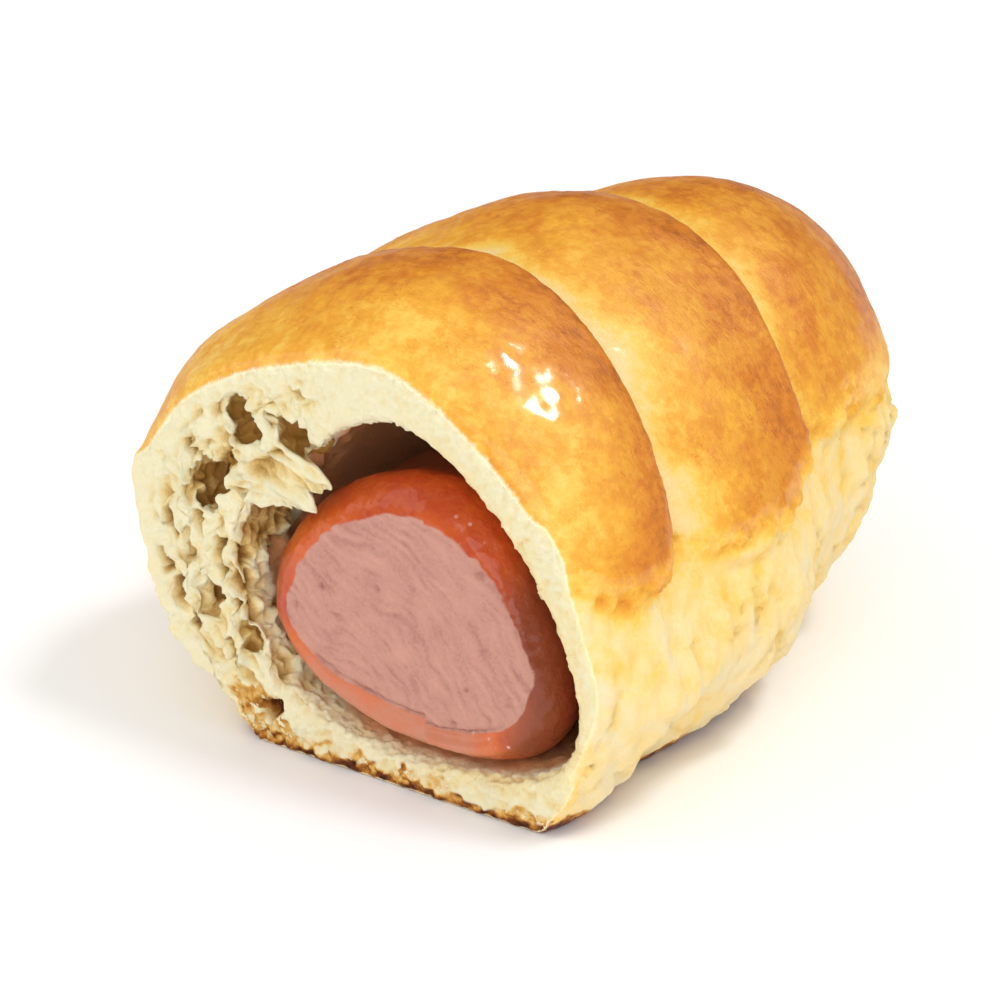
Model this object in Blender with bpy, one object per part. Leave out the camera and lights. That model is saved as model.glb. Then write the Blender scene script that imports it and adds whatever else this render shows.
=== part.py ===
"""Cut half of a sausage roll: a banded milk bread baked round a thick cooked sausage.

The roll lies along Y. Its cut face looks towards -Y and its closed end towards +Y, and +Z is up.
The origin lies under the middle of the bread, on the surface that it rests on. Sizes are in metres.
"""

import math
from collections import namedtuple

import bmesh
import bpy
from mathutils import Euler, Vector

MM = 0.001

# An upright outline made of four quarter superellipses that meet at its middle line.
# left_height and right_height say how high each side is widest.
Section = namedtuple(
    "Section",
    "middle left right top bottom left_height right_height "
    "upper_left upper_right lower_left lower_right",
)

# The bread without its bands: leaning out over its foot at the cut, and rounder behind.
LOAF = Section(
    middle=2.5 * MM, left=33.0 * MM, right=27.6 * MM, top=46.0 * MM, bottom=-11.0 * MM,
    left_height=22.0 * MM, right_height=16.0 * MM,
    upper_left=1.9, upper_right=1.55, lower_left=1.7, lower_right=1.6,
)
BACK = Section(
    middle=2.5 * MM, left=26.0 * MM, right=21.5 * MM, top=44.0 * MM, bottom=-11.0 * MM,
    left_height=22.0 * MM, right_height=18.0 * MM,
    upper_left=2.0, upper_right=2.25, lower_left=1.7, lower_right=1.55,
)
# The sausage, lying at the bottom of the hollow and flattened at its upper right.
MEAT = Section(
    middle=7.5 * MM, left=20.4 * MM, right=14.2 * MM, top=33.1 * MM, bottom=4.8 * MM,
    left_height=16.5 * MM, right_height=13.5 * MM,
    upper_left=1.8, upper_right=1.7, lower_left=2.05, lower_right=2.3,
)
# The mouth of the hollow that the dough left as it rose off the sausage.
MOUTH = Section(
    middle=3.5 * MM, left=18.6 * MM, right=22.4 * MM, top=40.3 * MM, bottom=3.4 * MM,
    left_height=18.5 * MM, right_height=14.0 * MM,
    upper_left=1.6, upper_right=1.6, lower_left=2.1, lower_right=2.5,
)

# Along the roll.
LENGTH = 76.0 * MM
BACK_START = 36.0 * MM
END_START = 51.0 * MM
END_BEND = 1.85
END_CORE = Vector((3.5 * MM, 0.0, 34.0 * MM))

# The bands: where each one's rear edge crosses the crown, and how proud it stands there.
BAND_EDGES = (0.0, 21.2 * MM, 45.8 * MM)
BAND_RELIEF = (4.2 * MM, 3.6 * MM, 3.2 * MM)
BAND_LEAN_RIGHT = 6.0 * MM
BAND_LEAN_LEFT = -4.0 * MM
LEAN_BEND = 1.5
LIP_SHARE = 0.08
RISE_SHARE = 0.72
RISE_BEND = 0.8
# How far the first band has already risen at the cut, and the last one where the end starts.
CUT_START = 0.07
LAST_AT_END_START = 0.3
LAST_AT_TIP = 0.5

# The bands' lower ends, over the paler foot: their height, and how far their corners turn up.
BAND_ENDS_RIGHT = (27.0 * MM, 26.0 * MM, 29.0 * MM)
BAND_ENDS_LEFT = (22.0 * MM, 20.0 * MM, 23.0 * MM)
CORNER_LIFT = 5.0 * MM
CORNER_BEND = 3
END_LIP_START = 0.96
END_LIP_WIDTH = 0.10
END_PROUD_RIGHT = 3.8 * MM
END_PROUD_LEFT = 1.2 * MM
FLANK_SHARE = 0.45
FOLD_DEPTH = 0.9 * MM
FOLD_WIDTH = 0.12

# The bread swells behind the cut, but for its base.
SWELL = 1.8 * MM
SWELL_REACH = 12.0 * MM
SWELL_HEIGHT = 12.0 * MM

# The unevenness of hand-rolled dough: waves, each with its direction and its phase.
WOBBLE = 0.18 * MM
WOBBLE_WAVE = 21.0 * MM
WOBBLE_WAVES = (
    (Vector((1.0, 0.7, 0.0)), 0.4),
    (Vector((0.0, 0.9, -0.8)), 1.9),
    (Vector((0.6, 0.0, 1.3)), 2.7),
)

# The sausage and the hollow round it.
GAP = 0.35 * MM
MEAT_FRONT = 0.9 * MM
MEAT_REAR = 58.0 * MM
MEAT_REAR_ROUND = 14.0 * MM
FACE_SHARE = 0.82
FACE_DOME = 0.7 * MM
# Rings of the face: how wide, and how much of the dome's rise they have lost.
FACE_RINGS = ((0.4, 0.15), (0.78, 0.6))
EDGE_ROUND = 4.2 * MM
EDGE_TURNS = (20.0, 45.0, 70.0)
GROOVE_DEPTH = 0.5 * MM
# How much wider the cut end has swollen than the rest, and where the rest starts.
SWOLLEN = 1.0 * MM
SWOLLEN_REACH = 10.0 * MM
HOLLOW_OPEN = 12.0 * MM
HOLLOW_DEPTH = 42.0 * MM
OVERCUT = 2.0 * MM

# The large holes in the thick left wall: centre on the cut face, half sizes and tilt.
Pore = namedtuple("Pore", "x z across deep tall tilt")
PORES = (
    Pore(-19.6 * MM, 27.6 * MM, 2.4 * MM, 6.0 * MM, 3.2 * MM, 20.0),
    Pore(-15.0 * MM, 36.2 * MM, 3.4 * MM, 4.5 * MM, 2.0 * MM, 45.0),
    Pore(-8.9 * MM, 36.0 * MM, 3.4 * MM, 4.5 * MM, 1.6 * MM, 30.0),
    Pore(-13.0 * MM, 24.4 * MM, 2.6 * MM, 8.0 * MM, 4.3 * MM, 25.0),
    Pore(-22.6 * MM, 20.2 * MM, 1.0 * MM, 3.5 * MM, 2.6 * MM, 5.0),
    Pore(-19.6 * MM, 14.8 * MM, 1.2 * MM, 4.0 * MM, 2.5 * MM, -15.0),
    Pore(-14.9 * MM, 11.6 * MM, 1.0 * MM, 4.0 * MM, 2.8 * MM, -30.0),
)

# How finely each shape is divided.
BAND_STEPS = (0.0, 0.04, 0.12, 0.24, 0.36, 0.48, 0.60, 0.72, 0.82, 0.90, 0.94, 0.975, 0.995)
LAST_STEPS = (0.0, 0.06, 0.18, 0.34, 0.52, 0.76)
END_RINGS = 9
FOOT_STEPS = (0.0, 0.2, 0.36, 0.46, 0.55, 0.64, 0.73, 0.81, 0.88, 0.93)
LIP_STEPS = (0.96, 0.965, 0.98, 1.01, 1.06)
BAND_SPANS = 13
MEAT_POINTS = 48
SHARP_ANGLE = math.radians(40.0)
SEAM = 0.01 * MM
HOLLOW_RINGS = 8
END_DOME_RINGS = 5


def between(first, last, share):
    """The value that lies a share of the way from first to last."""
    return first + (last - first) * share


def eased(share):
    """A share from 0 to 1 that starts and ends gently."""
    share = min(max(share, 0.0), 1.0)
    return share * share * (3.0 - 2.0 * share)


def signed_power(value, power):
    """A power that keeps the sign of its base."""
    return math.copysign(abs(value) ** power, value)


def outline(section, angle):
    """The point of a section's outline at an angle, counted from its right side upwards."""
    across, up = math.cos(angle), math.sin(angle)
    on_right, on_top = across >= 0.0, up >= 0.0
    if on_right:
        reach, height = section.right, section.right_height
        bend = section.upper_right if on_top else section.lower_right
    else:
        reach, height = section.left, section.left_height
        bend = section.upper_left if on_top else section.lower_left
    rise = section.top - height if on_top else height - section.bottom
    x = section.middle + reach * signed_power(across, 2.0 / bend)
    z = height + rise * signed_power(up, 2.0 / bend)
    return x, z


def angle_at_height(section, height, side):
    """The angle at which a section's side reaches a height."""
    if side > 0:
        widest, upper, lower = section.right_height, section.upper_right, section.lower_right
    else:
        widest, upper, lower = section.left_height, section.upper_left, section.lower_left
    if height >= widest:
        sine = ((height - widest) / (section.top - widest)) ** (upper / 2.0)
    else:
        sine = -((widest - height) / (widest - section.bottom)) ** (lower / 2.0)
    return math.asin(sine)


def end_of_band(section, band, share, side):
    """The angle of a band's lower end, whose corners turn up at the band's edges."""
    heights = BAND_ENDS_RIGHT if side > 0 else BAND_ENDS_LEFT
    lift = CORNER_LIFT * abs(2.0 * share - 1.0) ** CORNER_BEND
    return angle_at_height(section, heights[band] + lift, side)


def angle_at(section, band, share, side, station):
    """The angle of a station that runs from 0, underneath, by 1, the band's end, to 2, the crown."""
    end = end_of_band(section, band, share, side)
    crown = math.pi / 2.0
    if station <= 1.0:
        angle = between(-crown, end, station)
    else:
        angle = between(end, crown, station - 1.0)
    return angle if side > 0 else math.pi - angle


def edge_of_band(band, side, station):
    """How far along the roll a band starts, wound towards the cut as it runs down the right."""
    if band == 0:
        return 0.0
    lean = BAND_LEAN_RIGHT if side > 0 else BAND_LEAN_LEFT
    drop = min(max(2.0 - station, 0.0), 1.0)
    return BAND_EDGES[band] - lean * drop ** LEAN_BEND


def band_profile(share):
    """A band's height along the roll: it comes out from under its neighbour and ends in a lip."""
    height = math.sin(min(share / RISE_SHARE, 1.0) * math.pi / 2.0) ** RISE_BEND
    past = (share - (1.0 - LIP_SHARE)) / LIP_SHARE
    if past > 0.0:
        height *= math.sqrt(max(1.0 - past * past, 0.0))
    return height


def end_lip(station):
    """How far a band has risen off the foot at its lower end, as a quarter round."""
    share = min(max((station - END_LIP_START) / END_LIP_WIDTH, 0.0), 1.0)
    return math.sqrt(1.0 - (1.0 - share) ** 2)


def fold_depth(share):
    """The shallow upright folds of the foot, below the bands' edges."""
    nearest = min(share, 1.0 - share)
    return FOLD_DEPTH * math.exp(-((nearest / FOLD_WIDTH) ** 2))


def wobble(place):
    """Slow swells and dips over the whole skin."""
    turn = place * (2.0 * math.pi / WOBBLE_WAVE)
    return WOBBLE * sum(math.sin(turn.dot(way) + phase) for way, phase in WOBBLE_WAVES)


def section_at(along):
    """The bread's plain outline at a distance behind the cut."""
    share = eased((along - BACK_START) / (END_START - BACK_START))
    return Section(*(between(front, back, share) for front, back in zip(LOAF, BACK)))


def skin_point(band, share, profile, along, shrink, side, station):
    """A point of the bread's skin, with its band, foot, folds and unevenness."""
    section = section_at(along)
    angle = angle_at(section, band, share, side, station)
    x, z = outline(section, angle)
    place = Vector((x, along, z))
    core = Vector((END_CORE.x, along, END_CORE.z))
    place = core + (place - core) * shrink
    lip = end_lip(station)
    at_end = END_PROUD_RIGHT if side > 0 else END_PROUD_LEFT
    proud = between(at_end, BAND_RELIEF[band], eased((station - 1.0) / FLANK_SHARE))
    relief = SWELL * eased(along / SWELL_REACH) * eased(z / SWELL_HEIGHT)
    relief += (lip * proud * profile + wobble(place) - (1.0 - lip) * fold_depth(share)) * shrink
    outward = (place - core).normalized()
    return place + outward * relief * math.sqrt(shrink)


def stations():
    """The stations up one side, from underneath to just short of the crown, as in angle_at."""
    upper = [between(LIP_STEPS[-1], 2.0, step / BAND_SPANS) for step in range(1, BAND_SPANS)]
    return list(FOOT_STEPS) + list(LIP_STEPS) + upper


def ring(band, share, profile, along, shrink):
    """One closed ring of the skin: up the right side, over the crown and down the left.

    along is a function of the side and the station, because the bands are wound on a slant.
    """
    steps = stations()
    right = [(1, step) for step in steps] + [(1, 2.0)]
    left = [(-1, step) for step in reversed(steps[1:])]
    return [
        skin_point(band, share, profile, along(side, step), shrink, side, step)
        for side, step in right + left
    ]


def band_rings():
    """The rings from the cut face to where the closed end starts to round off."""
    rings = []
    for band in (0, 1):
        for share in BAND_STEPS:
            def along(side, station, band=band, share=share):
                front = edge_of_band(band, side, station)
                return between(front, edge_of_band(band + 1, side, station), share)
            profile = band_profile(between(CUT_START, 1.0, share) if band == 0 else share)
            rings.append(ring(band, share, profile, along, 1.0))
    last = len(BAND_EDGES) - 1
    for share in LAST_STEPS:
        def along(side, station, share=share):
            return between(edge_of_band(last, side, station), END_START, share)
        risen = LAST_AT_END_START * share
        rings.append(ring(last, risen, band_profile(risen), along, 1.0))
    return rings


def end_rings():
    """The rings of the rounded closed end."""
    rings = []
    last = len(BAND_EDGES) - 1
    for step in range(END_RINGS):
        turn = step / END_RINGS * math.pi / 2.0
        distance = END_START + (LENGTH - END_START) * math.sin(turn) ** (2.0 / END_BEND)
        shrink = math.cos(turn) ** (2.0 / END_BEND)
        risen = between(LAST_AT_END_START, LAST_AT_TIP, step / END_RINGS)

        def along(side, station, distance=distance):
            return distance
        rings.append(ring(last, risen, band_profile(risen), along, shrink))
    return rings


def loft(mesh, rings):
    """Join rings of points with strips of faces, and return the rings' vertices."""
    made = [[mesh.verts.new(point) for point in points] for points in rings]
    for low, high in zip(made, made[1:]):
        for index, vertex in enumerate(low):
            follower = (index + 1) % len(low)
            mesh.faces.new((vertex, high[index], high[follower], low[follower]))
    return made


def close_to_point(mesh, vertices, point):
    """Close a ring with a fan of triangles."""
    tip = mesh.verts.new(point)
    for index, vertex in enumerate(vertices):
        mesh.faces.new((vertex, tip, vertices[(index + 1) % len(vertices)]))


def finish_mesh(mesh, name):
    """Turn a closed bmesh into a named object."""
    bmesh.ops.recalc_face_normals(mesh, faces=mesh.faces)
    data = bpy.data.meshes.new(name)
    mesh.to_mesh(data)
    mesh.free()
    data.shade_smooth()
    data.set_sharp_from_angle(angle=SHARP_ANGLE)
    thing = bpy.data.objects.new(name, data)
    bpy.context.collection.objects.link(thing)
    return thing


def give_material(thing, name, colour, roughness):
    """Give a sub-part its plain finish."""
    material = bpy.data.materials.new(name)
    material.use_nodes = True
    shader = material.node_tree.nodes["Principled BSDF"]
    shader.inputs["Base Color"].default_value = (*colour, 1.0)
    shader.inputs["Roughness"].default_value = roughness
    shader.inputs["Metallic"].default_value = 0.0
    thing.data.materials.append(material)


def make_cutter(mesh, name):
    """Turn a closed bmesh into a cutter, which isn't part of the roll."""
    thing = finish_mesh(mesh, name)
    thing.hide_render = True
    thing.display_type = "WIRE"
    return thing


def cut(thing, cutter):
    """Take a cutter's shape out of a solid."""
    modifier = thing.modifiers.new(cutter.name, "BOOLEAN")
    modifier.operation = "DIFFERENCE"
    modifier.solver = "EXACT"
    modifier.object = cutter


def make_loaf():
    """The bread as a whole, standing flat on its foot and still without its hollow."""
    mesh = bmesh.new()
    rings = loft(mesh, band_rings() + end_rings())
    mesh.faces.new(rings[0])
    tip = END_CORE + Vector((0.0, LENGTH, 0.0))
    close_to_point(mesh, rings[-1], tip)
    geometry = list(mesh.verts) + list(mesh.edges) + list(mesh.faces)
    split = bmesh.ops.bisect_plane(
        mesh, geom=geometry, dist=SEAM, plane_co=(0.0, 0.0, 0.0),
        plane_no=(0.0, 0.0, 1.0), clear_inner=True,
    )
    rim = [item for item in split["geom_cut"] if isinstance(item, bmesh.types.BMEdge)]
    bmesh.ops.edgeloop_fill(mesh, edges=rim)
    return finish_mesh(mesh, "bread")


def section_ring(section, along, grow=0.0, share=1.0):
    """A ring of points on a section, grown outwards and drawn towards its middle."""
    centre = Vector((section.middle, along, (section.top + section.bottom) / 2.0))
    points = []
    for step in range(MEAT_POINTS):
        x, z = outline(section, 2.0 * math.pi * step / MEAT_POINTS)
        spoke = Vector((x, along, z)) - centre
        points.append(centre + spoke * share + spoke.normalized() * grow)
    return points


def blended_ring(first, second, share):
    """A ring part of the way from one ring to another."""
    return [between(a, b, share) for a, b in zip(first, second)]


def rear_dome(grow):
    """The rings of the sausage's rounded rear end, or of the hollow round it."""
    rings = []
    for step in range(1, END_DOME_RINGS + 1):
        turn = step / (END_DOME_RINGS + 1) * math.pi / 2.0
        along = MEAT_REAR - MEAT_REAR_ROUND + (MEAT_REAR_ROUND + grow) * math.sin(turn)
        rings.append(section_ring(MEAT, along, grow * math.cos(turn), math.cos(turn)))
    return rings


def make_hollow():
    """The cutter for the hollow, whose open mouth narrows to the sausage's own shape inside."""
    mesh = bmesh.new()
    rings = [section_ring(MOUTH, -OVERCUT)]
    for step in range(HOLLOW_RINGS + 1):
        along = between(HOLLOW_OPEN, HOLLOW_DEPTH, step / HOLLOW_RINGS)
        mouth = section_ring(MOUTH, along)
        snug = section_ring(MEAT, along, GAP)
        rings.append(blended_ring(mouth, snug, eased(step / HOLLOW_RINGS)))
    rings.append(section_ring(MEAT, MEAT_REAR - MEAT_REAR_ROUND, GAP))
    rings += rear_dome(GAP)
    made = loft(mesh, rings)
    mesh.faces.new(made[0])
    rear = Vector((MEAT.middle, MEAT_REAR + GAP, (MEAT.top + MEAT.bottom) / 2.0))
    close_to_point(mesh, made[-1], rear)
    return make_cutter(mesh, "hollow_cutter")


def make_pore(number, pore):
    """The cutter for one large hole in the crumb, as a squashed ball across the cut face."""
    mesh = bmesh.new()
    bmesh.ops.create_icosphere(mesh, subdivisions=2, radius=1.0)
    turn = Euler((0.0, math.radians(pore.tilt), 0.0)).to_matrix()
    for vertex in mesh.verts:
        size = Vector((vertex.co.x * pore.across, vertex.co.y * pore.deep, vertex.co.z * pore.tall))
        vertex.co = turn @ size + Vector((pore.x, 0.0, pore.z))
    return make_cutter(mesh, f"pore_cutter_{number}")


def make_sausage():
    """The sausage, with a swollen cut end inside a rolled edge of skin and a rounded rear end."""
    mesh = bmesh.new()
    rings = [
        section_ring(MEAT, MEAT_FRONT - FACE_DOME * (1.0 - fall), share=share)
        for share, fall in FACE_RINGS
    ]
    rings.append(section_ring(MEAT, MEAT_FRONT + GROOVE_DEPTH, share=FACE_SHARE))
    for turn in EDGE_TURNS:
        angle = math.radians(turn)
        along = MEAT_FRONT + EDGE_ROUND * (1.0 - math.cos(angle))
        width = between(FACE_SHARE, 1.0, math.sin(angle))
        rings.append(section_ring(MEAT, along, SWOLLEN * math.sin(angle), width))
    rings.append(section_ring(MEAT, MEAT_FRONT + EDGE_ROUND, SWOLLEN))
    rings.append(section_ring(MEAT, between(MEAT_FRONT + EDGE_ROUND, SWOLLEN_REACH, 0.5), SWOLLEN / 2.0))
    rings.append(section_ring(MEAT, SWOLLEN_REACH))
    rings.append(section_ring(MEAT, MEAT_REAR - MEAT_REAR_ROUND))
    rings += rear_dome(0.0)
    made = loft(mesh, rings)
    height = (MEAT.top + MEAT.bottom) / 2.0
    close_to_point(mesh, made[0], Vector((MEAT.middle, MEAT_FRONT - FACE_DOME, height)))
    close_to_point(mesh, made[-1], Vector((MEAT.middle, MEAT_REAR, height)))
    return finish_mesh(mesh, "sausage")


def centre_over_origin(bread):
    """Move every object so that the bread's middle stands over the origin."""
    across = [vertex.co.x for vertex in bread.data.vertices]
    along = [vertex.co.y for vertex in bread.data.vertices]
    middle = Vector((min(across) + max(across), min(along) + max(along), 0.0)) / 2.0
    for thing in bpy.data.objects:
        thing.location -= middle


def main():
    """Clear the scene, and make the bread and the sausage in it."""
    for thing in list(bpy.data.objects):
        bpy.data.objects.remove(thing)
    bread = make_loaf()
    give_material(bread, "crust", (0.80, 0.42, 0.09), 0.35)
    cut(bread, make_hollow())
    for number, pore in enumerate(PORES, 1):
        cut(bread, make_pore(number, pore))
    sausage = make_sausage()
    give_material(sausage, "skin", (0.62, 0.20, 0.14), 0.35)
    centre_over_origin(bread)


main()
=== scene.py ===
"""The looks of the cut sausage roll: its bread, its sausage and the stage that it stands on.

Each solid of the frame is copied, meshed finely and worked by hand-like steps, then painted with
noise that follows its own shape. The script is laid out as an add-on: sizes and colours are
properties, each piece has an operator, and a panel lists them all.
"""

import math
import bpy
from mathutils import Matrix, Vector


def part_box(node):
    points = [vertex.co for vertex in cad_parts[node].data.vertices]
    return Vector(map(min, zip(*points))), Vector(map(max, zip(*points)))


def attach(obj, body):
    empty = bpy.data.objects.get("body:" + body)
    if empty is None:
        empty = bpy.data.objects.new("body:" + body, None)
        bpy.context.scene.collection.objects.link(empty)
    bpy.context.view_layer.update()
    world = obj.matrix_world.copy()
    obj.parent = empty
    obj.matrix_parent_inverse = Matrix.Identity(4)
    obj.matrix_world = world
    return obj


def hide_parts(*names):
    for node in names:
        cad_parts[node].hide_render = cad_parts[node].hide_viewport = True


bl_info = {
    "name": "Cut sausage roll",
    "version": (1, 0, 0),
    "blender": (4, 5, 0),
    "location": "View3D > Sidebar > Sausage roll",
    "description": "Builds the bread, the sausage and the stage of a cut sausage roll",
    "category": "Object",
}

import bpy
import numpy as np
from bpy.props import FloatProperty, FloatVectorProperty, IntProperty, PointerProperty
from mathutils import Vector, noise

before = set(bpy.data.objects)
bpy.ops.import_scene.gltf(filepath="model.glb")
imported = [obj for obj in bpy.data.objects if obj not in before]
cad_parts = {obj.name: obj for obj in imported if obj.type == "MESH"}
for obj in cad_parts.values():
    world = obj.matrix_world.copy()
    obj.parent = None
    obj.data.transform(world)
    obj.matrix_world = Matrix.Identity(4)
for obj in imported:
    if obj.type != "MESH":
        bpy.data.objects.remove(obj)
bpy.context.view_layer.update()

MM = 0.001
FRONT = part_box("bread")[0].y / MM
# The loaf's own middle line on the cut face, in millimetres from the frame's origin.
ORIGIN = np.array((0.987, FRONT, 0.0))


# ---- sizes shared with the solids

# Outlines of the bread, of its closed end, of the sausage and of the hollow's mouth, in millimetres,
# as four quarter superellipses: how far each side reaches, the height at which it is widest, and how
# its upper and lower quarters bend.
LOAF = dict(middle=2.5, left=33.0, right=27.6, top=46.0, bottom=-11.0, left_height=22.0,
            right_height=16.0, left_upper=1.9, right_upper=1.55, left_lower=1.7, right_lower=1.6)
BACK = dict(middle=2.5, left=26.0, right=21.5, top=44.0, bottom=-11.0, left_height=22.0,
            right_height=18.0, left_upper=2.0, right_upper=2.25, left_lower=1.7, right_lower=1.55)
MEAT = dict(middle=7.5, left=20.4, right=14.2, top=33.1, bottom=4.8, left_height=16.5,
            right_height=13.5, left_upper=1.8, right_upper=1.7, left_lower=2.05, right_lower=2.3)
MOUTH = dict(middle=3.5, left=18.6, right=22.4, top=40.3, bottom=3.4, left_height=18.5,
             right_height=14.0, left_upper=1.6, right_upper=1.6, left_lower=2.1, right_lower=2.5)
GAP = 0.35
BACK_START, END_START, LENGTH = 36.0, 51.0, 76.0
HOLLOW_OPEN, HOLLOW_DEPTH = 12.0, 42.0
MEAT_REAR, MEAT_ROUND = 58.0, 14.0
BAND_EDGES = (0.0, 21.2, 45.8)
LEAN_RIGHT, LEAN_LEFT, LEAN_BEND = 6.0, -4.0, 1.5
ENDS_RIGHT, ENDS_LEFT = (27.0, 26.0, 29.0), (22.0, 20.0, 23.0)
CORNER_LIFT, CORNER_BEND = 5.0, 3
# Over this stretch of the closed end the bands' lower ends follow one height, which turns from the
# left one to the right one over a width either side of the middle.
REAR_START, REAR_END, REAR_TURN = 56.0, 68.0, 18.0

# Behind the cut: how far a place still counts as its face or its rim, and where the crumb's relief
# starts to fade and ends.
FACE_END, RIM_END, RELIEF_FADES, RELIEF_END = 0.3, 1.2, 8.0, 14.0
# A bulge low on the right flank: its middle, its reach and how far it swells.
BULGE, BULGE_REACH, BULGE_PUSH = (19.0, 61.0, 24.0), (9.0, 8.0, 8.0), (1.6, 0.9, 0.0)
# How far the cut end's lower corners are drawn in, left and right.
CORNERS_DRAWN = (5.0, 1.2)
# The flap that hangs from the crumb over the sausage: its height, half its width and its push.
FLAP_HEIGHT, FLAP_REACH, FLAP_PUSH = 31.6, 3.4, (4.8, -0.3, -2.2)
# The station of the seam where the pale foot meets the bands.
SEAM = 0.965
# How much browner each band is at its lower end, from the cut to the closed end.
LOW_END_TONES = (0.12, 0.06, -0.22)
# Soft patches of the cut end, each with its middle, half width and half height: the flap's calm root,
# the dark hole through the lower crust, the painted glints on the sausage's edge and its skin's dark
# tip.
FLAP_ROOT = (-10.2, 31.0, 1.5, 3.8)
DARK_HOLE = (-12.9, 4.2, 3.0, 1.5)
GLINT_TOP, GLINT_LOW = (10.5, 29.8, 2.6, 1.8), (17.0, 7.5, 2.4, 2.0)
SKIN_TIP = (-11.5, 17.5, 2.5, 2.5)
# The point that the meat's fibres curve about.
FIBRE_MIDDLE = (-13.0, -4.0)

# The large holes of the cut face: centre, half sizes and tilt.
PORES = (
    (-19.6, 27.6, 2.4, 6.0, 3.2, 20.0),
    (-15.0, 36.2, 3.4, 4.5, 2.0, 45.0),
    (-8.9, 36.0, 3.4, 4.5, 1.6, 30.0),
    (-13.0, 24.4, 2.6, 8.0, 4.3, 25.0),
    (-22.6, 20.2, 1.0, 3.5, 2.6, 5.0),
    (-19.6, 14.8, 1.2, 4.0, 2.5, -15.0),
    (-14.9, 11.6, 1.0, 4.0, 2.8, -30.0),
)
# Shallower pockets torn into it: centre, half sizes, tilt and depth.
POCKETS = (
    (-12.9, 23.6, 2.9, 4.6, 20.0, 3.2),
    (-12.9, 4.3, 2.6, 1.1, -25.0, 2.2),
    (-21.0, 31.4, 1.9, 0.8, 30.0, 2.6),
    (-14.2, 17.4, 1.9, 2.3, 10.0, 2.8),
    (-24.6, 22.5, 0.7, 1.9, -10.0, 2.2),
    (-23.4, 15.2, 0.7, 1.8, -15.0, 2.0),
    (-25.5, 17.6, 0.6, 1.6, -15.0, 1.6),
    (-17.9, 20.3, 0.8, 2.3, 5.0, 2.4),
    (-20.8, 23.0, 0.7, 1.7, 10.0, 2.0),
    (-17.2, 31.9, 1.9, 0.9, 25.0, 1.5),
    (-17.0, 9.6, 0.7, 2.1, -25.0, 2.0),
    (-21.3, 11.2, 0.6, 1.9, -25.0, 1.8),
    (-16.2, 14.8, 0.7, 1.6, -15.0, 2.0),
)

# Tones between those that a user sets, and those of scorched dough from pale to black.
STRAW = (0.92, 0.69, 0.29)
SHADED_CRUMB = (0.80, 0.56, 0.21)
SCORCHED = (
    (0.0, (0.96, 0.80, 0.48)), (0.28, (0.86, 0.52, 0.14)), (0.52, (0.60, 0.25, 0.04)),
    (0.78, (0.22, 0.06, 0.012)), (1.0, (0.07, 0.016, 0.006)),
)
# The tone of the painted glints on the sausage.
GLINT_COLOUR = (0.95, 0.74, 0.62)
# How deep light goes into crumb, dough and meat.
GLOW = 1.2 * MM


# ---- properties

def length(name, description, default, low=0.0, high=0.1):
    """A length that a user would change, in metres."""
    return FloatProperty(name=name, description=description, default=default, min=low, max=high,
                         subtype="DISTANCE", unit="LENGTH", precision=5)


def share(name, description, default):
    """A share that a user would change."""
    return FloatProperty(name=name, description=description, default=default, min=0.0, max=1.0,
                         subtype="FACTOR")


def view_angle(name, description, degrees):
    """An angle of the camera that a user would change."""
    return FloatProperty(name=name, description=description, default=math.radians(degrees),
                         subtype="ANGLE", unit="ROTATION")


def watts(name, description, default):
    """The power of a light that a user would change."""
    return FloatProperty(name=name, description=description, default=default, min=0.0,
                         subtype="POWER", unit="POWER")


def colour(name, description, default):
    """A colour that a user would change."""
    return FloatVectorProperty(name=name, description=description, default=default, size=3,
                               min=0.0, max=1.0, subtype="COLOR")


class BreadSettings(bpy.types.PropertyGroup):
    """Sizes and colours of the bread."""
    grain: length("Mesh size", "Size of the bread's mesh faces", 0.66 * MM)
    fine_depth: length("Fine depth", "How deep behind the cut the mesh is finest", 4.5 * MM)
    front_cuts: IntProperty(name="Front cuts", description="Cuts across each face near the cut",
                            default=2, min=0, max=3)
    pore_depth: length("Pore depth", "Depth of the crumb's open pores", 1.9 * MM)
    tear_depth: length("Tear depth", "Unevenness of the torn crumb", 0.55 * MM)
    blister_height: length("Blister height", "Height of the crust's swells", 0.20 * MM)
    fold_height: length("Fold height", "Height of the pale dough's folds", 1.15 * MM)
    cream: colour("Cream", "Unbrowned dough", (0.86, 0.73, 0.46))
    pale: colour("Pale gold", "Dough that has hardly browned", (0.95, 0.59, 0.095))
    gold: colour("Gold", "Lightly baked crust", (0.88, 0.41, 0.034))
    orange: colour("Orange", "Well baked crust", (0.70, 0.22, 0.018))
    brown: colour("Brown", "Darkest crust on the crests", (0.34, 0.08, 0.012))
    white: colour("White crumb", "Strands and fuzz of the crumb", (0.99, 0.90, 0.61))
    crumb: colour("Crumb", "The cut face", (0.99, 0.82, 0.44))
    # Painted shade: the tone of the crumb deep in its pores and holes.
    pore_shade: colour("Ochre", "The crumb deep in its holes", (0.44, 0.22, 0.045))
    # The wall of the hollow turns towards this reddish brown the deeper it lies.
    inside: colour("Inside", "The stained wall of the hollow", (1.0, 0.47, 0.20))
    glaze: share("Glaze", "Strength of the egg wash", 0.6)


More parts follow.
